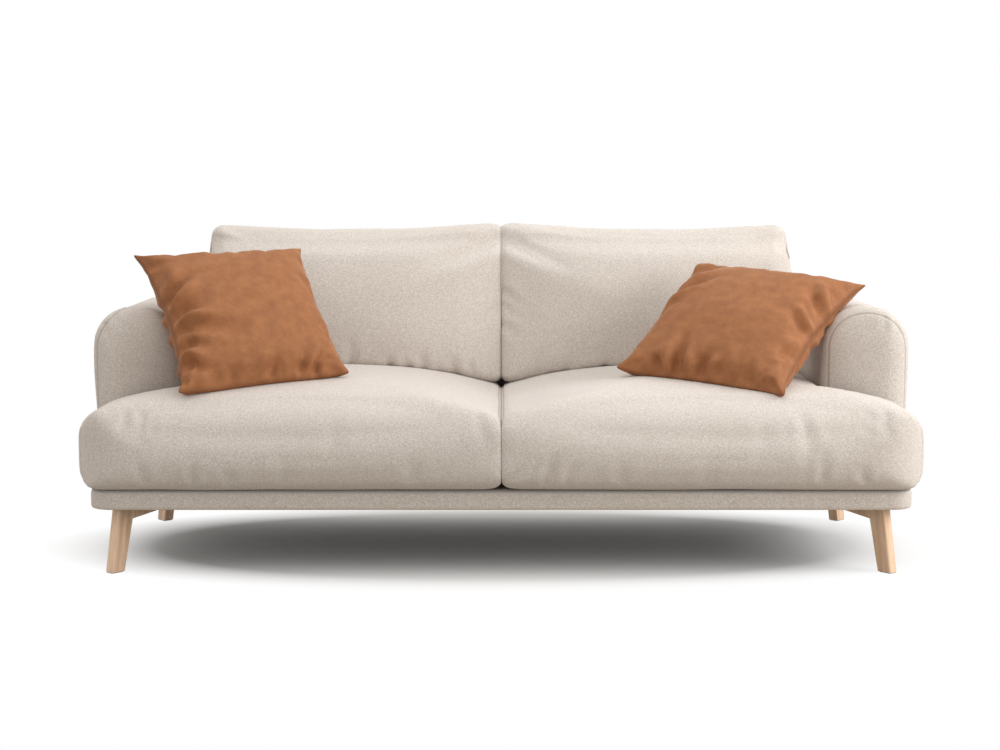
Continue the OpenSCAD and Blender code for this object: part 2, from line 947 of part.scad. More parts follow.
// A square pillow form in its own plane, with sides that pull in
module scatter_form(in) {
    half = scatter_w / 2 - in;
    rise = scatter_t / 2 - in;
    bulge = (scatter_t - scatter_edge_t) / 2;
    side_r = (half * half + scatter_waist * scatter_waist) / (2 * scatter_waist);
    face_r = (half * half + bulge * bulge) / (2 * bulge);
    intersection() {
        translate([0, 0, -scatter_t]) linear_extrude(2 * scatter_t)
            difference() {
                square(2 * half, center = true);
                for (turn = [0:90:270])
                    rotate(turn) translate([half - scatter_waist + side_r, 0]) circle(side_r);
            }
        lens_bar(half, rise, face_r);
        rotate([0, 0, 90]) lens_bar(half, rise, face_r);
    }
}

// A bar along y whose section is a lens, "rise" high on each side of its middle
module lens_bar(half, rise, face_r) {
    rotate([90, 0, 0]) linear_extrude(2 * (half + past), center = true)
        intersection() {
            translate([0, rise - face_r]) circle(face_r);
            translate([0, face_r - rise]) circle(face_r);
        }
}

// Each pose: the middle's distance in from the arm, forward of the back cushion and
// above the seat's crown, its least distance below the arms' top, then its turn about z,
// its tilt back and its roll in the cushion's own plane
scatter_left_pose = [168, 371, 160, 26, 25, 46, 2.5];
scatter_right_pose = [218, 322, 128, 58, -24, 57, -10];

module at_scatter(right) {
    pose = right ? scatter_right_pose : scatter_left_pose;
    z = max(seat_h + pose[2], arm_h - pose[3]);
    x = arm_in - pose[0];
    y = rear_at(z) - back_t + cushion_front / cos(back_lean) - pose[1];
    translate([right ? x : -x, y, z])
        rotate([90 - pose[5], 0, pose[4]]) rotate([0, 0, pose[6]]) children();
}

module scatter_cushion_cover(right) {
    color(rust_colour)
        at_scatter(right)
            difference() {
                scatter_form(0);
                scatter_form(fabric_t);
            }
}

module scatter_cushion_fill(right) {
    color(foam_colour) at_scatter(right) scatter_form(skin);
}

module scatter_cushion_cover_left() scatter_cushion_cover(false);
module scatter_cushion_cover_right() scatter_cushion_cover(true);
module scatter_cushion_fill_left() scatter_cushion_fill(false);
module scatter_cushion_fill_right() scatter_cushion_fill(true);

leg_front_left();
leg_front_right();
leg_rear_left();
leg_rear_right();
leg_screws();
floor_glides();
front_rail();
rear_rail();
side_rail_left();
side_rail_right();
centre_rail();
corner_blocks();
rail_dowels();
seat_webbing_lengthways();
seat_webbing_crossways();
deck_pad();
deck_cloth();
base_cover();
dust_cover();
arm_hood_left();
arm_hood_right();
arm_formers_left();
arm_formers_right();
arm_bottom_board_left();
arm_bottom_board_right();
arm_padding_left();
arm_padding_right();
arm_cover_left();
arm_cover_right();
arm_bolts();
back_post_left();
back_post_centre();
back_post_right();
back_top_rail();
back_bottom_rail();
back_webbing();
back_padding();
back_cover();
back_bolts();
seat_cushion_cover_left();
seat_cushion_core_left();
seat_cushion_cover_right();
seat_cushion_core_right();
back_cushion_cover_left();
back_cushion_fill_left();
back_cushion_cover_right();
back_cushion_fill_right();
scatter_cushion_cover_left();
scatter_cushion_fill_left();
scatter_cushion_cover_right();
scatter_cushion_fill_right();
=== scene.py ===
"""Looks of a two-seat sofa: linen cushions, arms and base, velvet scatter cushions, oak legs.

Metres, +X to the right as seen from the front, +Y to the back, +Z up.
"""

import json
import math

import bmesh
import bpy
import numpy as np
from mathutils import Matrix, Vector, kdtree, noise
from mathutils.bvhtree import BVHTree

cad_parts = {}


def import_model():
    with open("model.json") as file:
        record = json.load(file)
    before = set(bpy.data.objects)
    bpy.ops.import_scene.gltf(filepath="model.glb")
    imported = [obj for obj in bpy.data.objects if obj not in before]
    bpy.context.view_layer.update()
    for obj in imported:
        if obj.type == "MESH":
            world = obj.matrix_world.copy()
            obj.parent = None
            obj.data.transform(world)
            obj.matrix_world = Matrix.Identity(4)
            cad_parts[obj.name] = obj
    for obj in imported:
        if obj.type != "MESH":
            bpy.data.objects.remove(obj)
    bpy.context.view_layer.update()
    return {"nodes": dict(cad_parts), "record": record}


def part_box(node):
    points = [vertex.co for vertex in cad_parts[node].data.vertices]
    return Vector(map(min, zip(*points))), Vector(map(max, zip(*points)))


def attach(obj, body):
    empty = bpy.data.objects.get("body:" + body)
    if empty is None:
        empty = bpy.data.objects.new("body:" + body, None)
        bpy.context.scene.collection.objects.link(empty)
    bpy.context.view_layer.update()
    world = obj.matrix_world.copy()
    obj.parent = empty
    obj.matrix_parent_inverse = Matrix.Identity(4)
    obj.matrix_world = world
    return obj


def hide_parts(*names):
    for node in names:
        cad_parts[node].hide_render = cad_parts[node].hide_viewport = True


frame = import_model()
scene = bpy.context.scene
SIDES = ("left", "right")

# ---- Meshes ----


def add_piece(name, bm=None, mesh=None):
    """A new object with the mesh that a bmesh holds, or with a ready one."""
    if mesh is None:
        mesh = bpy.data.meshes.new(name)
        bm.to_mesh(mesh)
        bm.free()
    piece = bpy.data.objects.new(name, mesh)
    scene.collection.objects.link(piece)
    return piece


def places(piece):
    """Where a piece's vertices are, one row each."""
    co = np.empty(len(piece.data.vertices) * 3)
    piece.data.vertices.foreach_get("co", co)
    return co.reshape(-1, 3)


def facing(piece):
    """The unit normal at each vertex."""
    out = np.empty(len(piece.data.vertices) * 3)
    piece.data.vertex_normals.foreach_get("vector", out)
    return out.reshape(-1, 3)


def put(piece, co):
    piece.data.vertices.foreach_set("co", co.ravel())
    piece.data.update()


def step(x, low, high):
    """0 below low, 1 above high, and smooth between."""
    t = np.clip((x - low) / (high - low), 0, 1)
    return t * t * (3 - 2 * t)


def bump(x, width):
    """1 at x = 0, and falling away smoothly on both sides."""
    return np.exp(-((x / width) ** 2))


def rough(co, size, seed=0.0):
    """Smooth noise from -1 to 1 at each point, with features of that size."""
    lift = Vector((seed, seed * 1.7, seed * 2.3))
    return np.array([noise.noise(Vector(p) / size + lift) for p in co])


def bake(piece):
    """Makes a piece's modifiers part of its mesh."""
    graph = bpy.context.evaluated_depsgraph_get()
    mesh = bpy.data.meshes.new_from_object(piece.evaluated_get(graph), depsgraph=graph)
    piece.modifiers.clear()
    piece.data = mesh


def solid_of(node, name):
    """A piece that starts as a merged copy of a CAD solid, without the shell inside it."""
    bm = bmesh.new()
    bm.from_mesh(frame["nodes"][node].data)
    bmesh.ops.remove_doubles(bm, verts=bm.verts, dist=1e-5)
    todo, outside = set(bm.verts), []
    while todo:
        shell, front = [], [max(todo, key=lambda v: v.co.z)]
        todo.discard(front[0])
        while front:
            v = front.pop()
            shell.append(v)
            for other in (e.other_vert(v) for e in v.link_edges):
                if other in todo:
                    todo.discard(other)
                    front.append(other)
        if outside:
            bmesh.ops.delete(bm, geom=shell, context="VERTS")
        outside = outside or shell
    return add_piece(name, bm)


def remesh(piece, voxel):
    remesher = piece.modifiers.new("Remesh", "REMESH")
    remesher.mode = "VOXEL"
    remesher.voxel_size = voxel
    bake(piece)


def relax(piece, times, factor=0.5):
    """Smooths a piece's vertices, a few times over."""
    bm = bmesh.new()
    bm.from_mesh(piece.data)
    for _ in range(times):
        bmesh.ops.smooth_vert(
            bm, verts=bm.verts, factor=factor, use_axis_x=True, use_axis_y=True, use_axis_z=True
        )
    bm.to_mesh(piece.data)
    bm.free()
    piece.data.update()


def refine(piece, levels=1):
    """One more level of smooth subdivision, kept in the mesh."""
    smoother = piece.modifiers.new("Subdivision", "SUBSURF")
    smoother.levels = smoother.render_levels = levels
    bake(piece)


def inflate(piece, pressure, cap, held=None, frames=20, stiffness=15, shrink=0.0):
    """Fills a closed cover with air as simulated cloth. No point moves further than cap, and
    held is how firmly each one stays where it is, from 0 to 1."""
    start = places(piece)
    cloth = piece.modifiers.new("Cloth", "CLOTH")
    cloth.point_cache.frame_start = 1
    cloth.point_cache.frame_end = frames
    settings = cloth.settings
    settings.quality = 5
    settings.mass = 0.3
    settings.tension_stiffness = stiffness
    settings.compression_stiffness = stiffness
    settings.shear_stiffness = stiffness / 3
    settings.bending_stiffness = 0.5
    settings.use_pressure = True
    settings.uniform_pressure_force = pressure
    settings.effector_weights.gravity = 0
    settings.shrink_min = shrink
    if held is not None:
        group = piece.vertex_groups.new(name="held")
        for level in np.unique(np.round(held, 2)):
            if level > 0:
                group.add(np.nonzero(np.round(held, 2) == level)[0].tolist(), float(level), "REPLACE")
        settings.vertex_group_mass = "held"
        settings.pin_stiffness = 1
    for f in range(1, frames + 1):
        scene.frame_set(f)
    graph = bpy.context.evaluated_depsgraph_get()
    moved = places(piece.evaluated_get(graph))
    piece.modifiers.clear()
    piece.vertex_groups.clear()
    scene.frame_set(1)
    way = moved - start
    length = np.linalg.norm(way, axis=1, keepdims=True)
    way *= np.minimum(1, cap / np.maximum(length, 1e-9))
    put(piece, start + way)


def smooth_shade(piece):
    piece.data.polygons.foreach_set("use_smooth", [True] * len(piece.data.polygons))


# ---- Shader nodes ----


def wire(tree, kind, *values, **settings):
    """Adds a node. Values go to its inputs in order: a socket is linked, None is left alone."""
    made = tree.nodes.new(kind)
    for key, value in settings.items():
        setattr(made, key, value)
    for socket, value in zip(made.inputs, values):
        if isinstance(value, bpy.types.NodeSocket):
            tree.links.new(value, socket)
        elif value is not None:
            socket.default_value = value
    return made


def maths(tree, operation, *values):
    return wire(tree, "ShaderNodeMath", *values, operation=operation).outputs[0]


def blend_colours(tree, share, a, b):
    """The colour a where share is 0 and b where it is 1."""
    made = tree.nodes.new("ShaderNodeMix")
    made.data_type = "RGBA"
    for socket, value in ((made.inputs[0], share), (made.inputs[6], a), (made.inputs[7], b)):
        if isinstance(value, bpy.types.NodeSocket):
            tree.links.new(value, socket)
        else:
            socket.default_value = value
    return made.outputs[2]


def noise_of(tree, place, scale, detail, roughness, output="Fac"):
    return wire(tree, "ShaderNodeTexNoise", place, None, scale, detail, roughness).outputs[output]


def stretched(tree, place, by):
    """Coordinates multiplied by a factor for each axis."""
    return wire(tree, "ShaderNodeVectorMath", place, by, operation="MULTIPLY").outputs[0]


def group_of(name, inputs, outputs):
    """A new shader node group: its tree, its inputs' node and its outputs' node."""
    tree = bpy.data.node_groups.new(name, "ShaderNodeTree")
    for label, kind, value in inputs:
        tree.interface.new_socket(label, in_out="INPUT", socket_type=kind).default_value = value
    for label, kind in outputs:
        tree.interface.new_socket(label, in_out="OUTPUT", socket_type=kind)
    return tree, tree.nodes.new("NodeGroupInput"), tree.nodes.new("NodeGroupOutput")


def use_group(tree, group, *values):
    """Places a node group in a material, with its values in order, and gives its outputs."""
    return wire(tree, "ShaderNodeGroup", *values, node_tree=group).outputs


def threads_group():
    """Threads that run along all three axes, so that every face shows two sets crossing."""
    tree, given, result = group_of(
        "threads",
        [
            ("Vector", "NodeSocketVector", (0, 0, 0)),
            ("Along", "NodeSocketFloat", 60.0),
            ("Across", "NodeSocketFloat", 600.0),
        ],
        [("Height", "NodeSocketFloat")],
    )
    place, along, across = given.outputs[:3]
    total = None
    for axis in range(3):
        factors = [along if axis == i else across for i in range(3)]
        stretch = wire(tree, "ShaderNodeCombineXYZ", *factors)
        value = noise_of(tree, stretched(tree, place, stretch.outputs[0]), 1.0, 2.0, 0.6)
        total = value if total is None else maths(tree, "ADD", total, value)
    mean = maths(tree, "DIVIDE", total, 3.0)
    tree.links.new(mean, result.inputs[0])
    return tree


def mottle_group():
    """Uneven patches at two sizes, around 0.5."""
    tree, given, result = group_of(
        "mottle",
        [
            ("Vector", "NodeSocketVector", (0, 0, 0)),
            ("Large", "NodeSocketFloat", 6.0),
            ("Small", "NodeSocketFloat", 60.0),
        ],
        [("Value", "NodeSocketFloat")],
    )
    large = noise_of(tree, given.outputs[0], given.outputs[1], 3.0, 0.5)
    small = noise_of(tree, given.outputs[0], given.outputs[2], 3.0, 0.6)
    tree.links.new(maths(tree, "MULTIPLY", maths(tree, "ADD", large, small), 0.5), result.inputs[0])
    return tree


def grain_group():
    """Wood grain that runs along the vector's X: growth bands and fine pores."""
    tree, given, result = group_of(
        "grain",
        [
            ("Vector", "NodeSocketVector", (0, 0, 0)),
            ("Bands", "NodeSocketFloat", 90.0),
            ("Pores", "NodeSocketFloat", 900.0),
        ],
        [("Band", "NodeSocketFloat"), ("Pore", "NodeSocketFloat")],
    )
    long_way = stretched(tree, given.outputs[0], (0.07, 1, 1))
    warp = noise_of(tree, long_way, 14.0, 2.0, 0.5, output="Color")
    sway = (0.02, 0.02, 0.02)
    bent = wire(tree, "ShaderNodeVectorMath", warp, sway, long_way, operation="MULTIPLY_ADD")
    band = noise_of(tree, bent.outputs[0], given.outputs[1], 2.0, 0.55)
    pore = noise_of(tree, stretched(tree, given.outputs[0], (0.03, 1, 1)), given.outputs[2], 2.0, 0.6)
    tree.links.new(band, result.inputs[0])
    tree.links.new(pore, result.inputs[1])
    return tree


THREADS = threads_group()
MOTTLE = mottle_group()
GRAIN = grain_group()


def material(name, finish):
    """A new material: its tree, its Principled shader and its Object coordinates."""
    made = bpy.data.materials.new(name)
    made.use_nodes = True
    tree = made.node_tree
    shader = tree.nodes["Principled BSDF"]
    for key, value in finish.items():
        shader.inputs[key].default_value = value
    place = tree.nodes.new("ShaderNodeTexCoord").outputs["Object"]
    return made, tree, shader, place


def raise_bump(tree, shader, height, strength, distance):
    """Fine relief on the surface from a height that changes over it."""
    made = wire(tree, "ShaderNodeBump", strength, distance)
    tree.links.new(height, made.inputs["Height"])
    tree.links.new(made.outputs[0], shader.inputs["Normal"])


def spread(tree, value, low, high, to_low=0.0, to_high=1.0):
    return wire(tree, "ShaderNodeMapRange", value, low, high, to_low, to_high).outputs[0]


def paint_seam_shade(tree, colour, share, dark):
    """The colour with painted shade, in a dark tone, along the seam lines that the seam attribute marks."""
    seam = tree.nodes.new("ShaderNodeAttribute")
    seam.attribute_name = "seam"
    return blend_colours(tree, maths(tree, "MULTIPLY", seam.outputs["Fac"], share), colour, dark)


def linen_material():
    """Ecru linen mix: light and dark flecks in the weave, a dry nap, and painted shade along the seams."""
    finish = {"Sheen Weight": 0.25, "Sheen Roughness": 0.5, "Specular IOR Level": 0.25}
    made, tree, shader, place = material("linen", finish)
    fine = use_group(tree, THREADS, place, 190.0, 640.0)[0]
    slub = use_group(tree, THREADS, place, 14.0, 330.0)[0]
    patch = use_group(tree, MOTTLE, place, 3.0, 500.0)[0]
    threads = spread(tree, fine, 0.42, 0.58)
    colour = blend_colours(tree, threads, (0.46, 0.405, 0.355, 1), (0.775, 0.725, 0.68, 1))
    colour = blend_colours(tree, spread(tree, slub, 0.44, 0.58, 0.0, 0.34), colour, (0.60, 0.54, 0.49, 1))
    colour = blend_colours(tree, spread(tree, patch, 0.42, 0.62, 0.0, 0.14), colour, (0.48, 0.40, 0.335, 1))
    # Painted shade: a dark line along the seams, where the seam attribute marks them.
    colour = paint_seam_shade(tree, colour, 0.45, (0.20, 0.155, 0.12, 1))
    tree.links.new(colour, shader.inputs["Base Color"])
    tree.links.new(spread(tree, fine, 0.35, 0.65, 0.78, 0.97), shader.inputs["Roughness"])
    height = maths(tree, "ADD", fine, maths(tree, "MULTIPLY", slub, 0.6))
    raise_bump(tree, shader, height, 0.65, 0.0010)
    return made


def velvet_material():
    """Rust velvet: finely brushed pile, a pale sheen at the folds, and painted shade along the seam."""
    finish = {
        "Sheen Weight": 0.22,
        "Sheen Roughness": 0.30,
        "Sheen Tint": (1.0, 0.72, 0.50, 1),
        "Specular IOR Level": 0.35,
    }
    made, tree, shader, place = material("rust_velvet", finish)
    brushed = use_group(tree, MOTTLE, place, 34.0, 420.0)[0]
    pile = use_group(tree, THREADS, place, 320.0, 900.0)[0]
    low_pile, high_pile = (0.275, 0.098, 0.032, 1), (0.450, 0.193, 0.080, 1)
    colour = blend_colours(tree, spread(tree, brushed, 0.34, 0.66), low_pile, high_pile)
    colour = blend_colours(tree, spread(tree, pile, 0.4, 0.6, 0.0, 0.45), colour, (0.17, 0.060, 0.022, 1))
    # Painted shade: a dark line along the seam at the rim, where the seam attribute marks it.
    colour = paint_seam_shade(tree, colour, 0.4, (0.10, 0.030, 0.010, 1))
    tree.links.new(colour, shader.inputs["Base Color"])
    tree.links.new(spread(tree, brushed, 0.35, 0.65, 0.62, 0.85), shader.inputs["Roughness"])
    height = maths(tree, "ADD", brushed, maths(tree, "MULTIPLY", pile, 0.5))
    raise_bump(tree, shader, height, 0.40, 0.0010)
    return made


def wood_material(name, pale, dark, roughness, place_from=None, bands=90.0):
    """Wood with its grain along X of the object, or of a named attribute."""
    made, tree, shader, place = material(name, {"Specular IOR Level": 0.4})
    if place_from:
        source = tree.nodes.new("ShaderNodeAttribute")
        source.attribute_name = place_from
        place = source.outputs["Vector"]
    band, pore = use_group(tree, GRAIN, place, bands, 900.0)[:2]
    colour = blend_colours(tree, spread(tree, band, 0.35, 0.65), (*pale, 1), (*dark, 1))
    pore_colour = (*[c * 0.62 for c in dark], 1)
    colour = blend_colours(tree, spread(tree, pore, 0.52, 0.68, 0.0, 0.35), colour, pore_colour)
    tree.links.new(colour, shader.inputs["Base Color"])
    uneven = spread(tree, pore, 0.3, 0.7, roughness - 0.07, roughness + 0.12)
    tree.links.new(uneven, shader.inputs["Roughness"])
    raise_bump(tree, shader, pore, 0.12, 0.0006)
    return made


def plain_material(name, colour, roughness, size, depth, metallic=0.0, stretch=1.0, shade=0.7):
    """A plain finish with uneven tone and a fine surface, such as felt, plastic or steel."""
    made, tree, shader, place = material(name, {"Metallic": metallic})
    along = use_group(tree, THREADS, place, size * stretch, size)[0]
    patch = use_group(tree, MOTTLE, place, size * 0.02, size * 0.2)[0]
    dark = (*[c * shade for c in colour], 1)
    mixed = blend_colours(tree, spread(tree, along, 0.35, 0.65), dark, (*colour, 1))
    mixed = blend_colours(tree, spread(tree, patch, 0.4, 0.7, 0.0, 0.4), mixed, dark)
    tree.links.new(mixed, shader.inputs["Base Color"])
    uneven = spread(tree, along, 0.3, 0.7, roughness - 0.08, roughness + 0.08)
    tree.links.new(uneven, shader.inputs["Roughness"])
    raise_bump(tree, shader, along, 0.3, depth)
    return made


LINEN = linen_material()
VELVET = velvet_material()
OAK = wood_material("oak", (0.88, 0.64, 0.455), (0.68, 0.445, 0.285), 0.42, place_from="grain", bands=70.0)
FRAME_FINISHES = {
    "pine": wood_material("pine", (0.78, 0.62, 0.40), (0.60, 0.42, 0.24), 0.6),
    "plywood": wood_material("plywood", (0.74, 0.58, 0.40), (0.58, 0.42, 0.27), 0.6, bands=160.0),
    "felt": plain_material("felt", (0.50, 0.50, 0.50), 0.9, 500.0, 0.001),
    "lining": plain_material("lining", (0.040, 0.034, 0.028), 0.85, 700.0, 0.0006, stretch=0.2),
    "webbing": plain_material("webbing", (0.055, 0.055, 0.06), 0.75, 420.0, 0.001, stretch=0.1),
    "steel": plain_material(
        "steel", (0.60, 0.60, 0.62), 0.35, 500.0, 0.0002, metallic=1.0, stretch=0.05, shade=0.85
    ),
    "glide": plain_material("glide", (0.10, 0.09, 0.08), 0.5, 600.0, 0.0002),
    "linen": LINEN,
    "rust_velvet": VELVET,
    "oak": OAK,
    "foam": plain_material("foam", (0.86, 0.80, 0.62), 0.9, 600.0, 0.001),
    "fibre_fill": plain_material("fibre_fill", (0.90, 0.90, 0.88), 0.95, 300.0, 0.002),
}


def finish_frame():
    """Every CAD node gets the finish of its slot."""
    slots = {row["node"]: row["material_slot"] for row in frame["record"]["subparts"]}
    for name, node in frame["nodes"].items():
        node.data.materials.clear()
        node.data.materials.append(FRAME_FINISHES[slots[name]])


def dress(piece, finish, body, *nodes):
    """Gives a piece its material and body, and hides the CAD nodes that it stands for."""
    piece.data.materials.clear()
    piece.data.materials.append(finish)
    smooth_shade(piece)
    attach(piece, body)
    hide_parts(*nodes)


# ---- Seams ----


def crossings(piece, field):
    """Points, close together, along the line where a field at the vertices goes through 0."""
    mesh, co = piece.data, places(piece)
    corners = np.empty(len(mesh.loops), np.int32)
    mesh.loops.foreach_get("vertex_index", corners)
    starts = np.empty(len(mesh.polygons), np.int32)
    mesh.polygons.foreach_get("loop_start", starts)
    signs = field[corners] < 0
    mixed = np.logical_or.reduceat(signs, starts) & ~np.logical_and.reduceat(signs, starts)
    found = []
    for i in np.nonzero(mixed)[0]:
        ring = list(mesh.polygons[i].vertices)
        ends = []
        for a, b in zip(ring, ring[1:] + ring[:1]):
            if (field[a] < 0) != (field[b] < 0):
                ends.append(co[a] + (co[b] - co[a]) * field[a] / (field[a] - field[b]))
        if len(ends) == 2:
            found += [ends[0] + (ends[1] - ends[0]) * k / 4 for k in range(4)]
    return np.array(found)


SEAM_REACH = 0.03  # how far from a seam its pull is worked out
SEAM_SHADE_WIDTH = 0.0022  # of the dark line of painted shade along a seam
TIGHT_SEAM = {"depth": 0.0016, "width": 0.0026, "pucker": 0.0006, "seed": 3.0}  # arms and back


def near_seam(points, co, reach):
    """Each vertex's distance from the seam, no further than reach."""
    # Only places in a seam point's cell, or in one next to it, are measured. A cell's three
    # numbers, made positive, are packed into one.
    cells = np.floor(points / reach).astype(int) + 500
    near = [cells + (i, j, k) for i in (-1, 0, 1) for j in (-1, 0, 1) for k in (-1, 0, 1)]
    key = (1_000_000, 1000, 1)
    close = np.isin((np.floor(co / reach).astype(int) + 500) @ key, np.concatenate(near) @ key)
    tree = kdtree.KDTree(len(points))
    for i, p in enumerate(points):
        tree.insert(p, i)
    tree.balance()
    away = np.full(len(co), reach)
    away[close] = [min(tree.find(p)[2], reach) for p in co[close]]
    return away


def sew(piece, *fields, depth=0.003, width=0.003, pucker=0.0, seed=1.0):
    """Pulls seams in along the lines where a field(places, normals) goes through 0: the mesh is made
    finer there first, and an attribute marks the lines where the material paints shade in the seam."""
    co, out = places(piece), facing(piece)
    points = [crossings(piece, field(co, out)) for field in fields]
    points = np.concatenate([p for p in points if len(p)])
    away = near_seam(points, co, SEAM_REACH)
    bm = bmesh.new()
    bm.from_mesh(piece.data)
    close = [e for e in bm.edges if min(away[e.verts[0].index], away[e.verts[1].index]) < 2.5 * width]
    bmesh.ops.subdivide_edges(bm, edges=close, cuts=2, use_grid_fill=True)
    bm.to_mesh(piece.data)
    bm.free()
    piece.data.update()
    co, out = places(piece), facing(piece)
    away = near_seam(points, co, SEAM_REACH)
    sink = depth * bump(away, width)
    if pucker:
        by = away < SEAM_REACH
        waves = np.zeros(len(co))
        waves[by] = rough(co[by], 0.016, seed)
        sink += pucker * waves * bump(away, 0.015)
    put(piece, co - out * sink[:, None])
    # The seam attribute marks a thin line of painted shade in the seam's valley.
    seam_shade = piece.data.attributes.new("seam", "FLOAT", "POINT")
    seam_shade.data.foreach_set("value", bump(away, SEAM_SHADE_WIDTH).astype(np.float32))


def crease(piece, flat, weight, lines):
    """Presses soft valleys in: each line is its start and end on the flat places given for the
    vertices, a width and a depth. A low ridge stands on both sides of a valley, and a negative
    depth makes a ridge instead."""
    co, out = places(piece), facing(piece)
    sink = np.zeros(len(co))
    for ax, ay, bx, by, width, depth in lines:
        way = np.array([bx - ax, by - ay])
        length = np.linalg.norm(way)
        rel = flat - (ax, ay)
        t = rel @ way / length**2
        across = (rel[:, 0] * way[1] - rel[:, 1] * way[0]) / length + 0.25 * width * np.sin(5 * t + 40 * ax)
        fade = step(t, -0.12, 0.12) * (1 - step(t, 0.35, 1.12))
        spread_out = width * (1 + 0.6 * np.clip(t, 0, 1))
        ridges = 0.4 * bump(np.abs(across) - 2 * spread_out, spread_out)
        sink += depth * fade * (bump(across, spread_out) - ridges)
    put(piece, co - out * (sink * weight)[:, None])


def soften(piece, amount, size, seed, weight=1.0):
    """Uneven fullness, as soft filling has."""
    co, out = places(piece), facing(piece)
    put(piece, co + out * (amount * rough(co, size, seed) * weight)[:, None])


def meet_in_middle(piece, sign, gap):
    """Brings the inner side of a left or right cushion up to its neighbour."""
    co = places(piece)
    across = sign * co[:, 0]
    across -= (gap + 0.009) * (1 - step(across, gap + 0.006, gap + 0.08))
    co[:, 0] = sign * np.maximum(across, 0.0003)
    put(piece, co)


# ---- Cushions ----

# Drag folds in the front of a seat cushion, as x and z on its front face, metres
SEAT_FOLDS = {
    "left": [
        (-0.915, 0.425, -0.925, 0.345, 0.011, 0.0045),
        (-0.955, 0.43, -0.968, 0.365, 0.01, 0.0034),
        (-0.885, 0.42, -0.893, 0.36, 0.009, 0.0028),
        (-0.905, 0.245, -0.925, 0.31, 0.01, 0.0042),
        (-0.785, 0.24, -0.78, 0.315, 0.009, 0.0048),
        (-0.7, 0.24, -0.688, 0.3, 0.012, 0.0036),
        (-0.56, 0.24, -0.545, 0.33, 0.016, 0.0031),
        (-0.43, 0.405, -0.425, 0.3, 0.018, 0.0022),
        (-0.23, 0.245, -0.222, 0.33, 0.016, 0.0028),
        (-0.06, 0.43, -0.045, 0.33, 0.01, 0.0025),
    ],
    "right": [
        (0.105, 0.24, 0.15, 0.33, 0.011, 0.0056),
        (0.165, 0.24, 0.19, 0.31, 0.01, 0.0036),
        (0.03, 0.25, 0.06, 0.3, 0.008, 0.0036),
        (0.3, 0.245, 0.318, 0.33, 0.015, 0.0028),
        (0.52, 0.24, 0.53, 0.32, 0.016, 0.0025),
        (0.665, 0.4, 0.66, 0.3, 0.018, 0.0022),
        (0.77, 0.42, 0.785, 0.25, 0.014, 0.0036),
        (0.82, 0.25, 0.815, 0.36, 0.011, 0.0042),
        (0.93, 0.245, 0.915, 0.3, 0.01, 0.0042),
        (0.975, 0.43, 0.985, 0.35, 0.011, 0.0028),
    ],
}


def seat_cushion(side):
    """A long soft block that wraps round the front of the arm, with a seam at each end."""
    sign = 1 if side == "right" else -1
    cover, core = f"seat_cushion_cover_{side}", f"seat_cushion_core_{side}"
    low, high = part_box(cover)
    arm_low, arm_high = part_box(f"arm_cover_{side}")
    arm_inner = min(abs(arm_low.x), abs(arm_high.x))
    middle_x = min(abs(low.x), abs(high.x))
    piece = solid_of(cover, f"seat_cushion_{side}")
    remesh(piece, voxel=0.013)
    relax(piece, times=3)
    co = places(piece)
    out_x = sign * co[:, 0]
    held = np.maximum.reduce([
        1 - step(co[:, 2], low.z + 0.02, low.z + 0.06),
        1 - step(out_x, middle_x + 0.01, middle_x + 0.05),
        step(co[:, 1], arm_low.y - 0.05, arm_low.y - 0.02) * step(out_x, arm_inner - 0.05, arm_inner - 0.02),
        step(co[:, 1], high.y - 0.08, high.y - 0.03),
    ])
    inflate(piece, pressure=4.0, cap=0.007, held=held, frames=12)
    refine(piece)
    soften(piece, amount=0.0016, size=0.17, seed=3.0 + sign)
    co, out = places(piece), facing(piece)
    co[:, 2] -= 0.004 * (1 - step(co[:, 2], low.z, low.z + 0.05))
    in_front = step(-out[:, 1], 0.05, 0.5) * (1 - step(co[:, 1], low.y + 0.05, low.y + 0.12))
    crease(piece, co[:, [0, 2]], in_front, SEAT_FOLDS[side])
    lobe = (1 - step(co[:, 1], arm_low.y - 0.03, arm_low.y)) * step(out[:, 2], 0.3, 0.7)
    ripples = [
        (sign * x, arm_low.y, sign * (x + 0.01), arm_low.y - 0.07, 0.009, 0.0022)
        for x in (0.79, 0.825, 0.865, 0.90, 0.955)
    ]
    crease(piece, co[:, :2], lobe, ripples)
    sew(
        piece,
        lambda p, n: sign * n[:, 0] - 0.90,
        lambda p, n: -sign * n[:, 0] - 0.86 + 0.30 * step(p[:, 2], high.z - 0.13, high.z - 0.03),
        depth=0.0022, pucker=0.0008, seed=5.0 + sign,
    )
    meet_in_middle(piece, sign, middle_x)
    dress(piece, LINEN, f"seat_cushion_{side}", cover, core)
    return piece


# Folds in the front of a back cushion, as x and z, metres
BACK_FOLDS = {
    "left": [
        (-0.432, 0.470, -0.436, 0.570, 0.012, 0.0036),
        (-0.310, 0.455, -0.335, 0.520, 0.010, 0.0050),
        (-0.265, 0.455, -0.270, 0.505, 0.008, 0.0040),
        (-0.222, 0.455, -0.232, 0.530, 0.010, 0.0044),
        (-0.130, 0.455, -0.150, 0.520, 0.010, 0.0050),
        (-0.085, 0.455, -0.092, 0.500, 0.008, 0.0040),
        (-0.560, 0.470, -0.545, 0.540, 0.012, 0.0030),
        (-0.835, 0.862, -0.790, 0.820, 0.008, 0.0026),
        (-0.020, 0.650, -0.070, 0.600, 0.012, 0.0026),
    ],
    "right": [
        (0.008, 0.700, 0.060, 0.640, 0.011, 0.0044),
        (0.008, 0.660, 0.050, 0.610, 0.009, 0.0040),
        (0.010, 0.600, 0.055, 0.560, 0.010, 0.0034),
        (0.100, 0.455, 0.112, 0.520, 0.010, 0.0044),
        (0.190, 0.455, 0.215, 0.530, 0.012, 0.0040),
        (0.300, 0.455, 0.305, 0.510, 0.010, 0.0044),
        (0.390, 0.455, 0.380, 0.520, 0.010, 0.0034),
        (0.835, 0.860, 0.790, 0.830, 0.009, 0.0028),
    ],
}


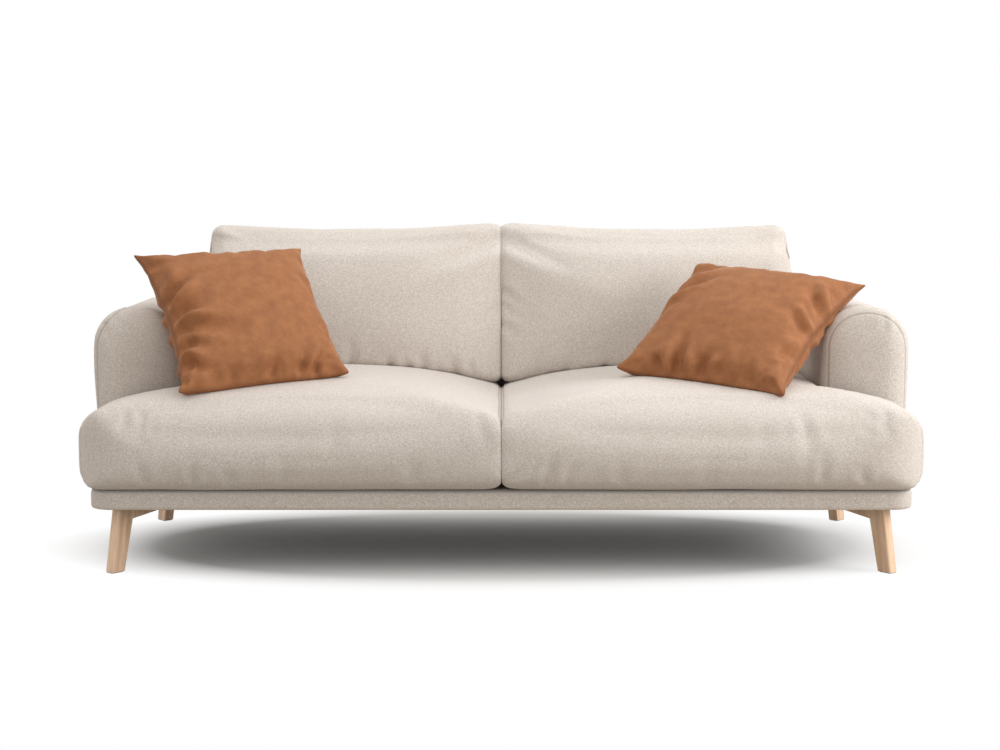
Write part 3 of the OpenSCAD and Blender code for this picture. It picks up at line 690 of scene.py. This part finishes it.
def back_cushion(side):
    """A loose fibre-filled cushion, fullest low down, that leans on the back."""
    sign = 1 if side == "right" else -1
    cover, fill = f"back_cushion_cover_{side}", f"back_cushion_fill_{side}"
    low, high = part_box(cover)
    middle_x = min(abs(low.x), abs(high.x))
    piece = solid_of(cover, f"back_cushion_{side}")
    remesh(piece, voxel=0.012)
    relax(piece, times=3)
    co, out = places(piece), facing(piece)
    out_x = sign * co[:, 0]
    held = np.maximum.reduce([
        1 - step(co[:, 2], low.z + 0.04, low.z + 0.09),
        1 - step(out_x, middle_x + 0.01, middle_x + 0.04),
        step(out[:, 1], 0.3, 0.8),
    ])
    inflate(piece, pressure=4.0, cap=0.008, held=held, frames=12)
    refine(piece)
    soften(piece, amount=0.0020, size=0.15, seed=9.0 + sign)
    co, out = places(piece), facing(piece)
    wide = np.abs(co[:, 0] - (low.x + high.x) / 2) / ((high.x - low.x) / 2)
    front = step(-out[:, 1], -0.4, 0.3)
    below_top = 1 - 0.6 * step(co[:, 2], high.z - 0.08, high.z)
    co[:, 1] += 0.040 * front * np.maximum(wide - 0.1, 0) ** 2.2 * below_top
    inner = 1 - step(sign * co[:, 0], middle_x + 0.02, middle_x + 0.16)
    co[:, 2] -= 0.026 * inner * (1 - step(co[:, 2], low.z + 0.02, low.z + 0.14))
    up = step(co[:, 2], high.z - 0.10, high.z - 0.01)
    co[:, 2] += up * (0.004 * step(wide, 0.62, 0.92) - 0.007 * (1 - step(wide, 0.25, 0.8)))
    if side == "right":
        co[:, 0] -= 0.015 * step(co[:, 2], high.z - 0.30, high.z) * step(co[:, 0], high.x - 0.15, high.x)
    put(piece, co)
    co, out = places(piece), facing(piece)
    crease(piece, co[:, [0, 2]], step(-out[:, 1], 0.0, 0.5), BACK_FOLDS[side])
    sew(
        piece,
        lambda p, n: n[:, 1] - 0.45,
        depth=0.0022, pucker=0.0010, seed=7.0 + sign,
    )
    meet_in_middle(piece, sign, middle_x)
    dress(piece, LINEN, f"back_cushion_{side}", cover, fill)
    return piece


# Creases in the front of a scatter cushion. Both places run from 0 to 1, across and up, and
# widths are shares of its side; depths are in metres.
SCATTER_FOLDS = {
    "left": [
        (0.02, 0.57, 0.27, 0.76, 0.028, 0.0169),
        (0.03, 0.53, 0.24, 0.66, 0.025, -0.0113),
        (0.02, 0.46, 0.28, 0.5, 0.029, 0.0133),
        (0.03, 0.41, 0.38, 0.385, 0.022, -0.0095),
        (0.03, 0.35, 0.42, 0.31, 0.029, 0.0151),
        (0.02, 0.27, 0.24, 0.24, 0.032, 0.0169),
        (0.02, 0.19, 0.14, 0.21, 0.022, -0.0133),
        (0.02, 0.13, 0.24, 0.11, 0.028, 0.0189),
        (0.01, 0.04, 0.14, 0.09, 0.022, 0.0151),
        (0.53, 0.02, 0.6, 0.14, 0.020, 0.0113),
        (0.7, 0.02, 0.76, 0.17, 0.017, 0.0113),
        (0.79, 0.02, 0.92, 0.18, 0.020, 0.0151),
        (0.62, 0.02, 0.66, 0.11, 0.015, -0.0076),
        (0.99, 0.5, 0.86, 0.72, 0.028, 0.0076),
        (0.99, 0.25, 0.86, 0.34, 0.028, 0.0076),
        (0.44, 0.99, 0.42, 0.86, 0.029, 0.0057),
        (0.72, 0.99, 0.75, 0.88, 0.025, 0.0057),
        (0.3, 0.02, 0.33, 0.12, 0.022, 0.0076),
    ],
    "right": [
        (0.02, 0.5, 0.3, 0.78, 0.025, 0.0169),
        (0.02, 0.45, 0.24, 0.62, 0.022, -0.0076),
        (0.06, 0.8, 0.3, 0.92, 0.038, 0.0113),
        (0.99, 0.68, 0.83, 0.83, 0.022, -0.0095),
        (0.99, 0.62, 0.8, 0.76, 0.025, 0.0133),
        (0.99, 0.5, 0.77, 0.59, 0.020, -0.0095),
        (0.99, 0.45, 0.8, 0.5, 0.025, 0.0113),
        (0.99, 0.36, 0.86, 0.3, 0.020, -0.0076),
        (0.99, 0.28, 0.88, 0.2, 0.022, 0.0113),
        (0.31, 0.02, 0.22, 0.2, 0.020, -0.0095),
        (0.35, 0.02, 0.33, 0.28, 0.025, 0.0189),
        (0.43, 0.02, 0.36, 0.22, 0.017, -0.0113),
        (0.48, 0.02, 0.55, 0.22, 0.022, 0.0151),
        (0.59, 0.02, 0.6, 0.18, 0.020, 0.0095),
        (0.77, 0.02, 0.74, 0.16, 0.022, 0.0151),
        (0.84, 0.03, 0.95, 0.15, 0.017, -0.0095),
        (0.24, 0.02, 0.15, 0.12, 0.017, 0.0113),
        (0.6, 0.99, 0.62, 0.88, 0.028, 0.0057),
    ],
}


# How far each corner of a scatter cushion is pulled from its place, metres: top left, top right,
# bottom right, bottom left
CORNER_TRIM = {
    "left": ((0, 0, 0), (-0.004, 0, -0.006), (-0.013, 0, 0.012), (0, 0, 0)),
    "right": ((0, 0, 0), (0.026, 0, 0.002), (0, 0, 0), (-0.008, 0, 0)),
}


# A scatter cushion's measures, metres, and shares of its side where they say so
RIM = 0.0022  # half its thickness at the seam
FULLNESS = 0.074  # half its thickness in the middle
WAIST = 0.045  # how far its sides pull in between the corners, as a share
EAR = 0.022  # how far its corners stick out, as a share
TUCK = 0.016  # how far the side by the arm is pushed in
ROLL = 0.042  # how far its rear rolls out past that side
GATHER = 0.011  # depth of the gathers along the seam
SAG = 0.022  # how far its lower half settles


def plane_of(node):
    """A flat square solid's middle, its outward direction and its four corners from the middle:
    top left, top right, bottom right and bottom left."""
    co = np.array([v.co for v in frame["nodes"][node].data.vertices])
    middle = (co.max(0) + co.min(0)) / 2
    rel = co - middle
    out = np.linalg.eigh(rel.T @ rel)[1][:, 0]
    out *= -np.sign(out[1])
    across = np.cross((0, 0, 1), -out)
    across /= np.linalg.norm(across)
    up = np.cross(across, out)
    up *= np.sign(up[2])
    across *= np.sign(across[0])
    flat = rel - np.outer(rel @ out, out)
    u, v = flat @ across, flat @ up
    corners = [flat[np.argmax(a * u + b * v)] for a, b in ((-1, 1), (1, 1), (1, -1), (-1, -1))]
    return middle, out, np.array(corners)


def press(co, support, way, gap):
    """Stops points that would go into another piece, seen along way, at a gap before its face."""
    graph = bpy.context.evaluated_depsgraph_get()
    tree = BVHTree.FromObject(support, graph)
    way = Vector(way)
    for i, place in enumerate(co):
        hit = tree.ray_cast(Vector(place) - way * 0.5, way)[0]
        if hit is not None:
            past = (Vector(place) - hit).dot(way) + gap[i]
            if past > 0:
                co[i] -= np.array(way) * past


def scatter_cushion(side, seat, behind):
    """Two squares of velvet sewn together at the edge and filled, with creases at the seam."""
    cover, fill = f"scatter_cushion_cover_{side}", f"scatter_cushion_fill_{side}"
    middle, out, corners = plane_of(cover)
    width = np.linalg.norm(corners[1] - corners[0])
    cells = 60
    bm = bmesh.new()
    bmesh.ops.create_cube(bm, size=2.0)
    flat_edges = [e for e in bm.edges if abs(e.verts[0].co.z - e.verts[1].co.z) < 1]
    bmesh.ops.subdivide_edges(bm, edges=flat_edges, cuts=cells - 1, use_grid_fill=True)
    piece = add_piece(f"scatter_cushion_{side}", bm)
    co = places(piece)
    u, v, face = co[:, 0].copy(), co[:, 1].copy(), np.sign(co[:, 2])
    u, v = (0.65 * t + 0.35 * np.sin(t * math.pi / 2) for t in (u, v))
    lens = (np.clip(1 - np.abs(u) ** 2.2, 0, 1) * np.clip(1 - np.abs(v) ** 2.2, 0, 1)) ** 0.55
    outer = 1 if side == "right" else -1
    edge = outer * u
    tuck = TUCK * (1 - v**2) * step(edge, 0.5, 1.0)
    near_side = np.sin(math.pi * np.clip((edge - 0.4) / 0.6, 0, 1))
    roll = np.where(face < 0, ROLL * (1 - np.abs(v) ** 1.8) * near_side, 0)
    ears = 1 + EAR * step(np.minimum(np.abs(u), np.abs(v)), 0.8, 1.0)
    co[:, 0] = width / 2 * ears * u * (1 - WAIST * (1 - np.abs(v) ** 1.6)) + outer * (roll - tuck)
    co[:, 1] = width / 2 * ears * v * (1 - WAIST * (1 - np.abs(u) ** 1.6))
    co[:, 2] = face * (RIM + FULLNESS * lens)
    put(piece, co)
    seed = 11.0 if side == "left" else 17.0
    soften(piece, amount=0.003, size=0.09, seed=seed, weight=lens)
    at_side = np.abs(u) > np.abs(v)
    along = np.where(at_side, v, u) * width / 2
    inside = (1 - np.maximum(np.abs(u), np.abs(v))) * width / 2
    turn = np.where(at_side, np.sign(u), 2 * np.sign(v)) * 3.1
    gathers = rough(np.column_stack([along, inside * 0.22, turn]), 0.026, seed)
    corner = step(np.minimum(np.abs(u), np.abs(v)), 0.75, 1.0)
    gathers *= (step(inside, 0.0, 0.012) * np.exp(-inside / 0.045)) * (1 - 0.7 * corner)
    co = places(piece)
    co[:, 2] += face * gathers * GATHER
    put(piece, co)
    inflate(piece, pressure=3.0, cap=0.014, frames=14, stiffness=12, shrink=0.01)
    co = places(piece)
    share_u, share_v = (u + 1) / 2, (v + 1) / 2
    drift = []
    for a in (-1, 1):
        for b in (-1, 1):
            tip = (np.abs(u - a) < 1e-6) & (np.abs(v - b) < 1e-6)
            drift.append(co[tip].mean(0) - ((1 + EAR) * a * width / 2, (1 + EAR) * b * width / 2, 0))
    low_left, high_left, low_right, high_right = drift
    su, sv = share_u[:, None], share_v[:, None]
    at_left = low_left * (1 - sv) + high_left * sv
    at_right = low_right * (1 - sv) + high_right * sv
    co -= at_left * (1 - su) + at_right * su
    put(piece, co)
    weight = np.where(face > 0, 1.0, 0.4) * step(lens, 0.0, 0.12)
    crease(piece, np.column_stack([share_u, share_v]), weight, SCATTER_FOLDS[side])
    co = places(piece)
    tl, tr, br, bl = (corner + np.array(trim) for corner, trim in zip(corners, CORNER_TRIM[side]))
    su, sv = ((co[:, i : i + 1] / width) + 0.5 for i in (0, 1))
    co = middle + (bl * (1 - su) + br * su) * (1 - sv) + (tl * (1 - su) + tr * su) * sv + co[:, 2:] * out
    low = (1 - step(share_v, 0.05, 0.5)) * (1 - np.abs(u) ** 6)
    co[:, 2] -= SAG * low
    press(co, seat, (0, 0, -1), np.where(face > 0, 0.0015, 0.0005))
    press(co, behind, (0, 1, 0), np.where(face > 0, 0.005, 0.002))
    put(piece, co)
    # The seam attribute marks the rim, where the velvet gets a painted dark line of shade.
    rim = np.maximum(np.abs(u), np.abs(v)) > 0.999
    seam_shade = piece.data.attributes.new("seam", "FLOAT", "POINT")
    seam_shade.data.foreach_set("value", rim.astype(np.float32))
    refine(piece)
    dress(piece, VELVET, f"scatter_cushion_{side}", cover, fill)


# ---- Arms, back and base ----


def lean_of_back():
    """How far the back leans for each metre of height, and where the foot of its rear stands."""
    low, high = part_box("back_cover")
    co = np.array([v.co for v in frame["nodes"]["back_cover"].data.vertices])
    foot = co[co[:, 2] < low.z + 1e-4][:, 1].max()
    return (high.y - foot) / (high.z - low.z), foot


def block(low, high, rear_foot, slope, front_foot=None):
    """A box from its corners whose rear leans, and whose front leans too if front_foot is given."""
    bm = bmesh.new()
    bmesh.ops.create_cube(bm, size=1.0)
    size, middle = high - low, (high + low) / 2
    for v in bm.verts:
        x, y, z = v.co
        up = middle.z + z * size.z
        lean = (up - low.z) * slope
        if y > 0:
            v.co.y = rear_foot + lean
        else:
            v.co.y = low.y if front_foot is None else front_foot + lean
        v.co.x = middle.x + x * size.x
        v.co.z = up
    return bm


def round_off(bm, edges, radius, segments):
    bmesh.ops.bevel(
        bm,
        geom=edges,
        offset=radius,
        segments=segments,
        profile=0.5,
        affect="EDGES",
        material=-1,
        clamp_overlap=True,
    )


def span(edge, axis):
    """How far an edge runs along an axis: 0 for X, 1 for Y, 2 for Z."""
    return abs(edge.verts[0].co[axis] - edge.verts[1].co[axis])


def top_of(edge):
    return max(v.co.z for v in edge.verts)


def arm(side):
    """A padded arm: a domed front panel, round on top, leaning behind with the back."""
    sign = 1 if side == "right" else -1
    inset = 0.008 if side == "right" else -0.020  # of the panel's inner seam: below 0 leaves it out
    low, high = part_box(f"arm_cover_{side}")
    slope, foot = lean_of_back()
    middle = (low + high) / 2
    half = (high.x - low.x) / 2
    bm = block(low, high, foot, slope)
    along = [e for e in bm.edges if span(e, 1) > 0.3 and e.verts[0].co.z > middle.z]
    round_off(bm, along, radius=0.104, segments=10)

    def in_front(v):
        return v.co.y < low.y + 1e-4

    def behind(v):
        return v.co.y > foot - 0.002 + (v.co.z - low.z) * slope

    for at, radius, segments in ((in_front, 0.020, 4), (behind, 0.014, 3)):
        rim = [e for e in bm.edges if all(at(v) for v in e.verts) and top_of(e) > low.z + 0.01]
        round_off(bm, rim, radius, segments)
    piece = add_piece(f"arm_{side}", bm)
    remesh(piece, voxel=0.009)
    relax(piece, times=4)
    co, out = places(piece), facing(piece)
    turned = sign * (middle.x - co[:, 0]) / half
    inner = np.clip((turned + 0.5) / 1.5, 0, 1)
    outer = np.clip((-0.5 - turned) / 0.5, 0, 1)
    above = np.clip(1 - (high.z - co[:, 2]) / 0.14, 0, 1)
    dome = 0.066 * inner**1.25 + 0.024 * outer**2.4 + 0.030 * above**2.4
    co[:, 1] += dome * (1 - step(co[:, 1], low.y + 0.03, low.y + 0.30))
    lip = 0.0045 * bump(co[:, 1] - low.y - 0.040, 0.032) - 0.0050 * bump(co[:, 1] - low.y - 0.115, 0.035)
    co += out * (lip * step(co[:, 2], low.z + 0.15, low.z + 0.3))[:, None]
    put(piece, co)
    refine(piece)
    soften(piece, amount=0.0016, size=0.12, seed=21.0 + sign)
    co, out = places(piece), facing(piece)
    fold_x = sign * (abs(middle.x) + half * 0.75)
    dimples = [
        (fold_x, 0.640, fold_x - 0.012 * sign, 0.590, 0.010, 0.0030),
        (fold_x - 0.035 * sign, 0.655, fold_x - 0.040 * sign, 0.610, 0.009, 0.0024),
    ]
    crease(piece, co[:, [0, 2]], step(-out[:, 1], 0.1, 0.6), dimples)

    def panel(p, n):
        inside = half - np.hypot(p[:, 0] - middle.x, np.maximum(p[:, 2] - (high.z - half), 0))
        innerness = step(sign * (middle.x - p[:, 0]) / half, -0.9, 0.2)
        line = inside - (0.010 + inset * innerness)
        return np.where(p[:, 1] < low.y + 0.1, line, -0.01)

    sew(piece, panel, lambda p, n: n[:, 1] - 0.75, **TIGHT_SEAM)
    dress(piece, LINEN, "sofa_frame", f"arm_cover_{side}", f"arm_padding_{side}")


def back():
    """The upholstered back, with a seamed panel behind."""
    low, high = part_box("back_cover")
    slope, foot = lean_of_back()
    bm = block(low, high, foot, slope, front_foot=low.y)
    top = [e for e in bm.edges if span(e, 0) > 0.5 and e.verts[0].co.z > low.z + 0.1]
    round_off(bm, top, radius=0.034, segments=6)
    piece = add_piece("back", bm)
    remesh(piece, voxel=0.012)
    relax(piece, times=3)
    refine(piece)
    soften(piece, amount=0.0014, size=0.16, seed=31.0)
    sew(piece, lambda p, n: n[:, 1] - 0.75, **TIGHT_SEAM)
    dress(piece, LINEN, "sofa_frame", "back_cover", "back_padding")


def base_band():
    """The upholstered band: rounded corners in plan, softly rounded top and bottom edges."""
    low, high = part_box("base_cover")
    size, middle = high - low, (high + low) / 2
    bm = bmesh.new()
    bmesh.ops.create_cube(bm, size=1.0)
    bmesh.ops.scale(bm, vec=size, verts=bm.verts)
    bmesh.ops.translate(bm, vec=middle, verts=bm.verts)
    round_off(bm, [e for e in bm.edges if span(e, 2) > 0.01], radius=0.06, segments=12)
    for level, radius in ((high.z, 0.014), (low.z, 0.009)):
        rim = [e for e in bm.edges if all(abs(v.co.z - level) < 1e-5 for v in e.verts)]
        round_off(bm, rim, radius, segments=4)
    # The top and the bottom are open where the lining lies: a ring of faces runs up to its corners
    for level, lining in ((high.z, "deck_cloth"), (low.z, "dust_cover")):
        start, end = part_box(lining)
        flat = [f for f in bm.faces if abs(f.calc_center_median().z - level) < 1e-4]
        face = max(flat, key=lambda f: f.calc_area())
        for thickness in (0.004, 0.001):
            bmesh.ops.inset_region(bm, faces=[face], thickness=thickness, use_even_offset=True)
        for v in face.verts:
            v.co.x = start.x if v.co.x < middle.x else end.x
            v.co.y = start.y if v.co.y < middle.y else end.y
        bmesh.ops.delete(bm, geom=[face], context="FACES")
    bmesh.ops.remove_doubles(bm, verts=bm.verts, dist=1e-5)
    bmesh.ops.recalc_face_normals(bm, faces=bm.faces)
    piece = add_piece("base_band", bm)
    wall = piece.modifiers.new("Solidify", "SOLIDIFY")
    wall.thickness = 0.0018
    wall.offset = -1
    bake(piece)
    dress(piece, LINEN, "sofa_frame", "base_cover")


def leg(side, end):
    """An oak leg and its arm in one, with broad round-overs on the outer edges."""
    name = f"leg_{end}_{side}"
    bm = bmesh.new()
    bm.from_mesh(frame["nodes"][name].data)
    bmesh.ops.remove_doubles(bm, verts=bm.verts, dist=1e-5)
    bmesh.ops.dissolve_limit(bm, angle_limit=math.radians(1), verts=bm.verts, edges=bm.edges)
    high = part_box(name)[1]

    def sharp(edge, length, angle):
        return edge.calc_length() > length and edge.is_manifold and edge.calc_face_angle(0) > angle

    posts = [e for e in bm.edges if sharp(e, 0.02, 0.5) and span(e, 2) > 0.1]
    outer = sorted(posts, key=lambda e: -max(v.co.xy.length for v in e.verts))[:2]
    foot, head = sorted(outer[0].verts, key=lambda v: v.co.z)
    way = head.co - foot.co
    way.normalize()
    broad = max(bm.faces, key=lambda f: f.calc_area()).normal.copy()
    round_off(bm, outer, radius=0.005, segments=4)
    below = high.z - 0.001
    slim = [e for e in bm.edges if sharp(e, 0.012, 0.6) and min(v.co.z for v in e.verts) < below]
    round_off(bm, slim, radius=0.0020, segments=3)
    piece = add_piece(f"oak_leg_{end}_{side}", bm)
    co = places(piece)
    third = way.cross(broad)
    grain = np.column_stack([co @ np.array(way), co @ np.array(third), co @ np.array(broad)])
    layer = piece.data.attributes.new("grain", "FLOAT_VECTOR", "POINT")
    layer.data.foreach_set("vector", grain.ravel())
    dress(piece, OAK, "sofa_frame", name)
    for face in piece.data.polygons:
        face.use_smooth = face.area < 4e-4


finish_frame()
for side in SIDES:
    seat = seat_cushion(side)
    behind = back_cushion(side)
    scatter_cushion(side, seat, behind)
    arm(side)
    for end in ("front", "rear"):
        leg(side, end)
back()
base_band()

# ---- Camera, floor and light ----

CAMERA_PLACE = (-0.0033, -5.330, 1.041)
CAMERA_PITCH = 6.05  # degrees below level
CAMERA_LENS, CAMERA_SENSOR = 69.35, 36  # mm
FLOOR_SEEN = (0.9, 0.9, 0.9, 1)
FLOOR_BOUNCE = (0.38, 0.34, 0.295, 1)  # what the floor throws back up
SHADOW_SQUASH = (0.5, 1.0, 1.0)  # makes the shadow's oval a circle
SHADOW_EDGE = (0.48, 0.64)  # that circle's radius where it starts to fade, and where it has gone
WORLD_TINT, WORLD_STRENGTH = (1.0, 0.98, 0.95, 1), 0.90
LIGHTS = (
    # name, place, aim, size, watts
    ("low side", (3.51, -2.03, 1.49), (0, 0, 0.4), (1.8, 1.8), 33),
    ("side", (3.72, -0.79, 2.17), (0, 0, 0.4), (1.8, 1.8), 62),
    ("top", (0.0, -0.3, 3.4), (0, 0, 0), (4.0, 3.0), 30),
)

def camera():
    data = bpy.data.cameras.new("camera")
    data.lens = CAMERA_LENS
    data.sensor_width = CAMERA_SENSOR
    made = bpy.data.objects.new("camera", data)
    made.location = CAMERA_PLACE
    made.rotation_euler = (math.radians(90 - CAMERA_PITCH), 0, 0)
    scene.collection.objects.link(made)
    scene.camera = made


def seen_by_eye(tree):
    """1 for rays from the camera, straight or by way of gloss or glass."""
    rays = tree.nodes.new("ShaderNodeLightPath").outputs
    seen = maths(tree, "ADD", rays["Is Camera Ray"], rays["Is Glossy Ray"])
    return maths(tree, "MINIMUM", maths(tree, "ADD", seen, rays["Is Transmission Ray"]), 1.0)


def floor():
    """A white floor that keeps the shadow under the sofa and is plain white further off. It
    throws less light back up than it shows, as a floor that goes on into a dark room does."""
    bm = bmesh.new()
    bmesh.ops.create_grid(bm, x_segments=1, y_segments=1, size=20)
    made = add_piece("floor", bm)
    paint = bpy.data.materials.new("floor")
    paint.use_nodes = True
    tree = paint.node_tree
    tree.nodes.clear()
    eye = seen_by_eye(tree)
    tone = blend_colours(tree, eye, FLOOR_BOUNCE, FLOOR_SEEN)
    matt = wire(tree, "ShaderNodeBsdfDiffuse", tone)
    glow = wire(tree, "ShaderNodeEmission", (1, 1, 1, 1), 1.0)
    place = tree.nodes.new("ShaderNodeTexCoord").outputs["Object"]
    far = stretched(tree, place, SHADOW_SQUASH)
    distance = wire(tree, "ShaderNodeVectorMath", far, operation="LENGTH").outputs["Value"]
    share = maths(tree, "MULTIPLY", spread(tree, distance, *SHADOW_EDGE), eye)
    both = wire(tree, "ShaderNodeMixShader", share, matt.outputs[0], glow.outputs[0])
    out = tree.nodes.new("ShaderNodeOutputMaterial")
    tree.links.new(both.outputs[0], out.inputs["Surface"])
    made.data.materials.append(paint)


def softbox(name, place, aim, size, power):
    data = bpy.data.lights.new(name, "AREA")
    data.shape = "RECTANGLE"
    data.size, data.size_y = size
    data.energy = power
    made = bpy.data.objects.new(name, data)
    made.location = place
    made.rotation_euler = (Vector(aim) - Vector(place)).to_track_quat("-Z", "Y").to_euler()
    scene.collection.objects.link(made)


def world():
    made = bpy.data.worlds.new("studio")
    scene.world = made
    made.use_nodes = True
    tree = made.node_tree
    tree.nodes.clear()
    lit = wire(tree, "ShaderNodeBackground", WORLD_TINT, WORLD_STRENGTH)
    white = wire(tree, "ShaderNodeBackground", (1, 1, 1, 1), 1.0)
    both = wire(tree, "ShaderNodeMixShader", seen_by_eye(tree), lit.outputs[0], white.outputs[0])
    out = tree.nodes.new("ShaderNodeOutputWorld")
    tree.links.new(both.outputs[0], out.inputs["Surface"])


camera()
floor()
world()
for light in LIGHTS:
    softbox(*light)
scene.view_settings.view_transform = "Standard"
